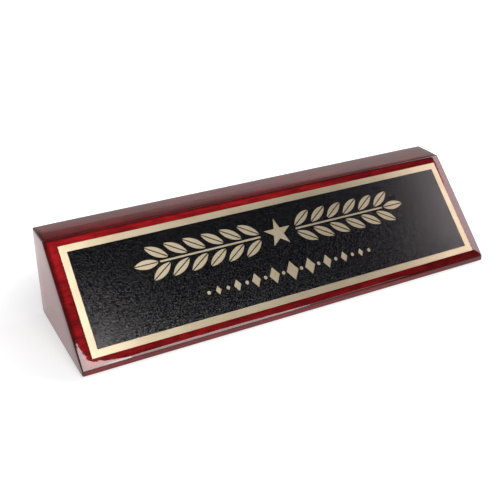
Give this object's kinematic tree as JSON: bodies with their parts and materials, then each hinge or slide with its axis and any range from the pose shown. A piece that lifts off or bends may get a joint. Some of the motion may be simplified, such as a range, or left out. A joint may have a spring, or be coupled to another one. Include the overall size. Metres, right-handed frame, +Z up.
{
  "type": "desk name wedge",
  "caption": "Rosewood-finish desk wedge with a sloped front that carries a brass plate with a black engraved face, on a felt base.",
  "frame": {"origin": "centre of the footprint, on the surface the wedge stands on", "axes": "+X along the wedge, to the right of someone who reads the plate; +Y to the back; +Z up"},
  "size_m": [0.2144, 0.059, 0.0446],
  "materials": {
    "core_board": "plain sanded fibreboard",
    "rosewood": "red-stained rosewood veneer under a thick polished gloss coat",
    "felt": "short black self-adhesive felt",
    "tape": "white double-sided foam tape",
    "brass": "satin, lacquered",
    "black_coat": "fine-grained black coat, semi-matt"
  },
  "bodies": {
    "root": {"lower_core_board": "core_board", "upper_core_board": "core_board", "front_veneer": "rosewood", "top_veneer": "rosewood", "rear_veneer": "rosewood", "front_edge_strip": "rosewood", "left_end_veneer": "rosewood", "right_end_veneer": "rosewood", "base_felt": "felt", "upper_tape_strip": "tape", "lower_tape_strip": "tape", "brass_plate": "brass", "black_face": "black_coat"}
  },
  "joints": []
}
